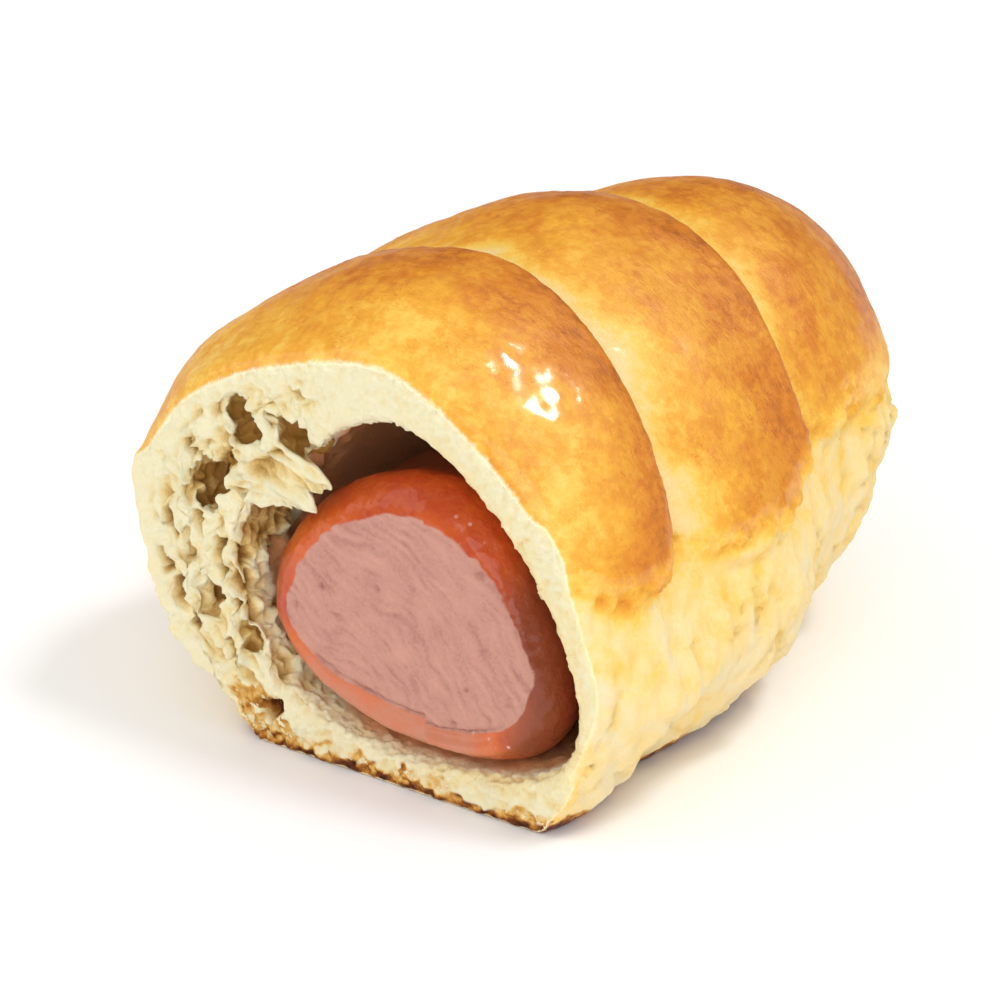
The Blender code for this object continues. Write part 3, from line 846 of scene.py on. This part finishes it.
class SAUSAGEROLL_OT_bread(bpy.types.Operator):
    """Build the bread: glazed bands, pale foot, open crumb and torn lower crust"""
    bl_idname = "sausage_roll.bread"
    bl_label = "Build the bread"

    def execute(self, context):
        settings = context.scene.sausage_roll_bread
        bread = fine_copy("bread", "loaf", settings.grain)
        smooth(bread, np.ones(len(bread.data.vertices), bool), 2)
        self.smooth_plain(bread)
        self.thin_hidden(bread)
        self.refine_front(bread, settings)
        self.sculpt(bread, settings)
        self.colour(bread, settings)
        bread.data.shade_smooth()
        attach(bread, "root")
        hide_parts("bread")
        return {"FINISHED"}

    def smooth_plain(self, bread):
        """Smooth the skin a good deal, but for its creases, its bands' lower ends and its base."""
        local = local_places(bread)
        bands = BandMap(local)
        rim = (local[:, 1] < FACE_END) & (bands.out > 0.955)
        on_skin = (~crumb_of(local) | rim) & (local[:, 2] > 1.0)
        creased = (bands.band > 0) & (bands.behind < 1.6) | (bands.band < 2) & (bands.before < 2.2)
        at_end = (bands.station > 0.90) & (bands.station < 1.08)
        smooth(bread, on_skin & ~creased & ~at_end, 30)
        x, y, z = local_places(bread).T
        at_mouth = np.abs(on_section(MOUTH, x, z)[0] - 1.0) < 0.12
        smooth(bread, at_mouth & (y < 2.4), 10)

    def thin_hidden(self, bread):
        """Use larger faces where nobody sees them: deep in the hollow and underneath."""
        local = local_places(bread)
        under = (local[:, 2] < 0.2) & (local[:, 1] > 3.0)
        deep = in_hollow(local) & (local[:, 1] > 15.0)
        work_on(bread, under | deep, bpy.ops.mesh.decimate, ratio=0.18)

    def refine_front(self, bread, settings):
        """Use the smallest faces on the cut face, at its rim and in its large holes."""
        local = local_places(bread)
        x, y = local[:, 0], local[:, 1]
        near = y < settings.fine_depth / MM * mixed(1.0, 0.6, rising(x, 2.0, 6.0))
        chosen = (crumb_of(local) & near) | (y < 1.4) | (in_pores(local, 1.2) > 0.0)
        work_on(bread, chosen, bpy.ops.mesh.subdivide, number_cuts=settings.front_cuts)
        smooth(bread, local_places(bread)[:, 1] < RELIEF_FADES, 4)

    def cell_depth(self, spot, inner, warp, open_wall, settings):
        """How deep the crumb's cells are: larger ones drawn out along the crust, and small ones."""
        x, y, z = spot.T
        turn = np.arctan2(z - LOAF["left_height"], x - LOAF["middle"])
        drawn = np.stack([inner, turn * CELLS_ROUND, y * CELLS_INTO], 1) + 0.55 * warp
        large = foam(drawn, 2.2, 0.36) * rising(cloud(spot, 6.5, 2, 91.0), -0.40, 0.10)
        medium = foam(drawn * np.array((1.0, 1.3, 1.0)), 1.05, 0.45, 5.0)
        medium *= rising(cloud(spot, 4.0, 2, 37.0), -0.2, 0.3)
        small = foam(spot * LEAN, 0.9, 0.6, 3.0) * (0.24 + 0.22 * open_wall)
        return open_wall * (large * settings.pore_depth / MM + 0.8 * medium) + small

    def torn_depth(self, spot, open_wall, root, low, settings):
        """How deep the crumb is torn: all over, at the flap's root, in pockets and low down."""
        depth = cloud(spot @ SLANT * LEAN, 1.5, 4, 31.0) * settings.tear_depth / MM
        depth *= 0.34 + 0.60 * open_wall
        depth += 0.30 * cloud(spot, 0.9, 4, 61.0)
        depth += 0.9 * root * cloud(spot, 0.8, seed=65.0, squash=(1.0, 1.0, 0.28))
        low_tears = 0.55 * cloud(spot, 1.7, 4, 71.0) + 0.35 * foam(spot, 1.8, 0.5, 8.0)
        return depth + falling(spot[:, 1], 0.3, 2.5) * (torn_pockets(spot) + low * low_tears)

    def crumb_offsets(self, spot, normals, inner, settings):
        """How the crumb at places is warped and torn open, and how deep it lies afterwards."""
        x, y, z = spot.T
        face, low = y < 0.7, falling(z, 3.0, 7.0)
        fade, keep_rim = falling(y, RELIEF_FADES, RELIEF_END), rising(inner, 0.3, 2.0)
        open_wall = rising(-x, 2.0, 8.0) * rising(inner, 2.2, 5.0) * rising(z, 4.0, 9.0)
        normals = mixed(normals, np.array((0.0, -1.0, 0.0)), (face * (1.0 - open_wall))[:, None])
        root = patch(x, z, FLAP_ROOT)
        open_wall *= 1.0 - 0.8 * root
        warp = np.stack([cloud(spot, 2.4, seed=11.0), y * 0.0, cloud(spot, 2.4, seed=23.0)], 1)
        depth = self.cell_depth(spot, inner, warp, open_wall, settings)
        depth += self.torn_depth(spot, open_wall, root, low, settings)
        depth *= fade * mixed(keep_rim, 1.0, low * 0.6)
        lip = falling(on_section(MOUTH, x, z)[0], 1.0, 1.1)
        depth *= 1.0 - 0.65 * lip * rising(x, -6.0, 2.0) * face
        warped = warp * ((0.06 + 0.85 * open_wall) * keep_rim * fade)[:, None]
        return warped - normals * depth[:, None], np.maximum(depth, 0.0)

    def skin_heights(self, spot, station, under, settings):
        """How far the skin at places swells outwards or folds inwards, in millimetres."""
        swell = cloud(spot, 7.0, 2) * settings.blister_height / MM
        swell += 0.10 * cloud(spot, 3.0, 4, 7.0, squash=(1.0, 2.2, 1.0))
        cracks = np.exp(-foot_ridges(spot) / 0.07) * rising(cloud(spot, 9.0, 2, 33.0), -0.2, 0.3)
        folds = cloud(spot, 4.5, seed=13.0, squash=(1.0, 1.0, 0.5))
        folds += 0.24 * cloud(spot, 1.6, seed=51.0) - 0.75 * cracks
        folds *= settings.fold_height / MM
        folds -= 0.6 * bell(station, SEAM, 0.03) * seam_breaks(spot)
        folds *= mixed(0.2, 1.0, rising(spot[:, 2], 0.5, 5.0))
        height = mixed(folds, swell, rising(station, 0.955, 1.015))
        return height * (1.0 - under) * rising(spot[:, 1], 0.2, 2.0)

    def sculpt(self, bread, settings):
        """Warp the cut end, open its pores and give the skin its swells and folds."""
        local = local_places(bread)
        self.local, self.bands, self.inner = local, BandMap(local), rim_distance(local)
        self.crumb = crumb_of(local) | (self.inner > 2.5) & (local[:, 1] < 6.0)
        self.depth = np.zeros(len(local))
        normals = normals_of(bread)
        moved = reshape_front(local)
        near = np.flatnonzero(self.crumb & (local[:, 1] < RELIEF_END))
        torn, deep = self.crumb_offsets(local[near], normals[near], self.inner[near], settings)
        moved[near] += torn
        self.depth[near] = deep
        skin = np.flatnonzero(~self.crumb)
        under = rising(-normals[skin, 2], 0.6, 0.9) * falling(local[skin, 2], 0.3, 1.0)
        height = self.skin_heights(local[skin], self.bands.station[skin], under, settings)
        moved[skin] += normals[skin] * height[:, None]
        moved[:, 2] = np.maximum(moved[:, 2], 0.0)
        move_to(bread, moved)

    def scorch_of(self, bread, strip):
        """How scorched the base's edge and the torn lower crust are, and how dark the hole through it
        is painted.
        """
        local = self.local
        x, y, z = local.T
        edge = rising(-normals_of(bread)[:, 2], -0.5, 0.2)
        under = falling(z + 0.8 * cloud(local, 3.0, seed=35.0), 1.0, 2.9) * edge
        patches = rising(cloud(local, 2.4, seed=15.0), 0.1, 0.5)
        toast = 0.20 + 0.45 * falling(z, 0.4, 1.3) + 0.32 * patches
        # The hole through the lower crust is painted dark.
        hole = patch(x, z, DARK_HOLE) * (y < 1.0)
        return np.maximum.reduce([0.8 * under, strip * toast, 0.85 * hole])

    def colour(self, bread, settings):
        """Keep the values that the materials read, and give each face its material."""
        local, crumb, inner = self.local, self.crumb, self.inner
        x, y, z = local.T
        browning, on_band = browning_of(local, self.bands)
        strip = base_strip(local)
        crumbs = rising(cloud(local, 1.0, seed=25.0), 0.18, 0.34) * rising(z, 0.8, 1.8)
        # Reddish brown on the hollow's wall, growing the deeper it lies.
        inside = in_hollow(local) * rising(y - 2.2 * rising(-x, 2.0, 8.0), 0.4, 5.5)
        inside *= mixed(0.85, 1.0, rising(z, 5.0, 10.0))
        inside *= 1.0 - 0.9 * rising(in_pores(local, 1.5), 0.0, 0.2)
        # Painted shade in the crumb: deeper in its pores and holes, in a painted shadow past the
        # mouth's right edge, and just inside the rim.
        past_mouth = np.clip(on_section(MOUTH, x, z)[0] - 1.0, 0.0, 1.0)
        shadow = np.exp(-past_mouth / 0.07) * rising(x, 4.0, 12.0) * (y < 1.5)
        pocket = np.clip(self.depth / 1.7, 0.0, 1.0) + 0.34 * shadow
        pocket += rising(in_pores(local), 0.0, 0.25) * rising(y, 0.4, 3.0)
        pocket += 0.16 * falling(inner, 0.3, 1.6) * (y < 1.0)
        cut = np.where(crumb, rising(inner, -0.6, 0.5), falling(y, 0.0, 0.8))
        paint(bread, "browning", blurred(bread, browning, 4))
        paint(bread, "scorch", self.scorch_of(bread, strip))
        paint(bread, "pocket", pocket)
        paint(bread, "inside", inside)
        paint(bread, "toasted", strip * crumb * (1.0 - crumbs))
        paint(bread, "cut", np.where(crumb & (y > FACE_END), 1.0, cut))
        for make in (make_crust, make_foot, make_crumb):
            bread.data.materials.append(make(settings))
        give_faces(bread, on_band < 0.5, 1)
        give_faces(bread, crumb, 2)


# ---- the sausage

class SAUSAGEROLL_OT_sausage(bpy.types.Operator):
    """Build the sausage: fibrous cut meat inside a rolled edge of glossy skin"""
    bl_idname = "sausage_roll.sausage"
    bl_label = "Build the sausage"

    def execute(self, context):
        settings = context.scene.sausage_roll_sausage
        sausage = fine_copy("sausage", "sausage_fine", settings.grain)
        smooth(sausage, np.ones(len(sausage.data.vertices), bool), 3)
        hidden = local_places(sausage)[:, 1] > 24.0
        work_on(sausage, hidden, bpy.ops.mesh.decimate, ratio=0.2)
        near = local_places(sausage)[:, 1] < settings.fine_depth / MM
        work_on(sausage, near, bpy.ops.mesh.subdivide, number_cuts=1)
        smooth(sausage, local_places(sausage)[:, 1] < 8.0, 3)
        self.sculpt(sausage, settings)
        self.colour(sausage, settings)
        sausage.data.shade_smooth()
        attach(sausage, "root")
        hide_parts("sausage")
        return {"FINISHED"}

    def sculpt(self, sausage, settings):
        """Roughen the meat, press its groove and roll the skin's edge."""
        local = local_places(sausage)
        x, y, z = local.T
        out = on_section(MEAT, x, z)[0]
        wavy = out + 0.030 * cloud(local, 5.0, seed=2.0) + 0.010 * cloud(local, 1.5, 2, 6.0)
        bottom, left_side = falling(z, 7.0, 15.0), rising(-x, -2.0, 8.0)
        edge = 0.875 - 0.015 * left_side + 0.05 * rising(x, 8.0, 17.0) * (1.0 - bottom)
        edge -= 0.23 * falling(z, 7.0, 17.0) * (1.0 - 0.6 * left_side)
        front = falling(y, 4.0, 6.0)
        face = falling(wavy, edge - 0.02, edge + 0.03) * front
        groove = bell(wavy, edge - 0.035, 0.020) * front
        groove *= bottom * rising(x, -11.0, -6.0) * falling(x, 14.0, 18.0)
        right, up = x - FIBRE_MIDDLE[0], z - FIBRE_MIDDLE[1]
        away = 1.25 * np.hypot(right, up) + 2.2 * cloud(local, 8.0, seed=12.0)
        fibres = cloud(np.stack([away, 7.0 * np.arctan2(up, right), y * 0.0], 1), 1.0, 4, 1.0)
        grain = cloud(local, 0.8, seed=4.0)
        pits = bubbles(local, 3.4, 0.04, 0.20) * face
        height = face * (0.7 * fibres + 0.6 * grain) * settings.fibre_height / MM
        height -= 0.55 * groove + 0.3 * pits
        height += (1.0 - face) * (0.16 * cloud(local, 4.0, seed=9.0) + 0.05 * grain)
        moved = local + normals_of(sausage) * height[:, None]
        fuller = front * falling(out, 0.86, 1.0) * rising(out, 0.70, 0.84)
        moved[:, 1] -= 0.55 * fuller * np.clip(y - 0.2, 0.0, 2.0)
        move_to(sausage, moved)
        self.local, self.past_edge, self.face, self.groove = local, wavy - edge, face, groove
        self.rings = 0.5 + 0.34 * fibres - 0.4 * pits - 0.5 * groove

    def colour(self, sausage, settings):
        """Keep the values that the materials read, and give each face its material."""
        local, past_edge = self.local, self.past_edge
        x, y, z = local.T
        # Painted glints on the skin's upper and lower right edge; the groove's dots are painted glints
        # too.
        glint_spots = patch(x, z, GLINT_TOP) * falling(y, 3.0, 4.5)
        glint_spots += patch(x, z, GLINT_LOW) * falling(y, 2.0, 4.0)
        glint_spots *= rising(past_edge, -0.01, 0.03)
        # Painted shade: the lower right corner keeps little of the underside's paleness, so it stays
        # dark red.
        corner = rising(x, 12.0, 19.0) * falling(z, 10.0, 20.0)
        pale = 0.12 + 0.75 * falling(z, 7.0, 15.0) * (1.0 - corner) + 0.12 * corner
        pale += 0.2 * rising(-x, -2.0, 8.0) - 0.6 * patch(x, z, SKIN_TIP)
        # Painted shade: the right flank, and the skin that lies deeper than about 5 mm in the hollow.
        flank = 0.9 * rising(x, 15.0, 19.5) * rising(y, 0.2, 1.6)
        inside = rising(y + 0.8 * cloud(local, 5.0, 2, 21.0), 4.5, 8.0)
        paint(sausage, "rings", self.rings)
        paint(sausage, "skinned", rising(past_edge, -0.03, 0.02))
        paint(sausage, "specks", 1.6 * self.groove + 0.8 * glint_spots)
        paint(sausage, "paleness", pale)
        paint(sausage, "shaded", np.maximum(inside, flank))
        for make in (make_skin, make_meat):
            sausage.data.materials.append(make(settings))
        give_faces(sausage, self.face, 1)


# ---- the stage

# What the lights and the camera are turned towards.
LIT_POINT = Vector((0.0, 0.0, 20.0)) * MM
SEEN_POINT = Vector((-1.513, -10.0, 20.0)) * MM
SENSOR_WIDTH = 36.0


class SAUSAGEROLL_OT_stage(bpy.types.Operator):
    """Lay the floor, and set up the lights and the camera"""
    bl_idname = "sausage_roll.stage"
    bl_label = "Set the stage"

    def execute(self, context):
        settings = context.scene.sausage_roll_stage
        bpy.ops.object.select_all(action="DESELECT")
        bpy.ops.mesh.primitive_plane_add(size=settings.floor_size, location=(0.0, 0.0, 0.0))
        floor = context.active_object
        floor.name = "floor"
        floor.data.materials.append(make_floor_paint(settings))
        bpy.ops.object.mode_set(mode="EDIT")
        bpy.ops.mesh.subdivide(number_cuts=3)
        bpy.ops.object.mode_set(mode="OBJECT")
        self.light("key_light", (0.42, 0.14, 0.90), 1.2, 0.22, settings.key_power)
        gloss = self.light("gloss_light", (0.44, 0.12, 0.89), 1.2, 0.28, settings.gloss_power)
        gloss.visible_diffuse = False
        self.light("front_light", (0.42, -0.82, 0.46), 1.4, 0.9, settings.fill_power)
        self.light("left_light", (-0.75, -0.45, 0.48), 1.4, 0.8, settings.fill_power * 0.45)
        world = bpy.data.worlds.new("soft_sky")
        world.use_nodes = True
        light_all_round = world.node_tree.nodes["Background"].inputs
        light_all_round["Color"].default_value = (1.0, 1.0, 1.0, 1.0)
        light_all_round["Strength"].default_value = settings.sky
        context.scene.world = world
        world.cycles_visibility.glossy = False
        context.scene.view_settings.view_transform = "Standard"
        self.camera(context, settings)
        return {"FINISHED"}

    def light(self, name, way, distance, size, power):
        """A soft square light that looks at the roll from a direction."""
        data = bpy.data.lights.new(name, "AREA")
        data.size = size
        data.energy = power
        lamp = bpy.data.objects.new(name, data)
        bpy.context.collection.objects.link(lamp)
        lamp.location = LIT_POINT + Vector(way).normalized() * distance
        lamp.rotation_euler = (LIT_POINT - lamp.location).to_track_quat("-Z", "Y").to_euler()
        return lamp

    def camera(self, context, settings):
        """The camera, looking over the cut face and the right flank."""
        data = bpy.data.cameras.new("view")
        data.lens = settings.focal
        data.sensor_width = SENSOR_WIDTH
        data.clip_start = 0.01
        camera = bpy.data.objects.new("view", data)
        bpy.context.collection.objects.link(camera)
        away = Vector((
            math.sin(settings.azimuth) * math.cos(settings.elevation),
            -math.cos(settings.azimuth) * math.cos(settings.elevation),
            math.sin(settings.elevation),
        ))
        camera.location = SEEN_POINT + away * settings.distance
        camera.rotation_euler = (-away).to_track_quat("-Z", "Y").to_euler()
        context.scene.camera = camera


# ---- panel and registration

# The steps: the name of their settings on the scene, the settings and the operator.
STEPS = (
    ("sausage_roll_stage", StageSettings, SAUSAGEROLL_OT_stage),
    ("sausage_roll_bread", BreadSettings, SAUSAGEROLL_OT_bread),
    ("sausage_roll_sausage", SausageSettings, SAUSAGEROLL_OT_sausage),
)


class SAUSAGEROLL_PT_panel(bpy.types.Panel):
    """Lists the steps and their settings"""
    bl_idname = "SAUSAGEROLL_PT_panel"
    bl_label = "Sausage roll"
    bl_space_type = "VIEW_3D"
    bl_region_type = "UI"
    bl_category = "Sausage roll"

    def draw(self, context):
        for name, group, operator in STEPS:
            box = self.layout.box()
            for key in group.__annotations__:
                box.prop(getattr(context.scene, name), key)
            box.operator(operator.bl_idname)


def register():
    """Register the classes and hang their settings on the scene."""
    for name, group, operator in STEPS:
        bpy.utils.register_class(group)
        bpy.utils.register_class(operator)
        setattr(bpy.types.Scene, name, PointerProperty(type=group))
    bpy.utils.register_class(SAUSAGEROLL_PT_panel)


def unregister():
    """Take the settings and the classes away again."""
    bpy.utils.unregister_class(SAUSAGEROLL_PT_panel)
    for name, group, operator in reversed(STEPS):
        delattr(bpy.types.Scene, name)
        bpy.utils.unregister_class(operator)
        bpy.utils.unregister_class(group)


def main():
    """Build the whole roll and its stage."""
    register()
    bpy.ops.sausage_roll.stage()
    bpy.ops.sausage_roll.bread()
    bpy.ops.sausage_roll.sausage()


if __name__ == "__main__":
    main()
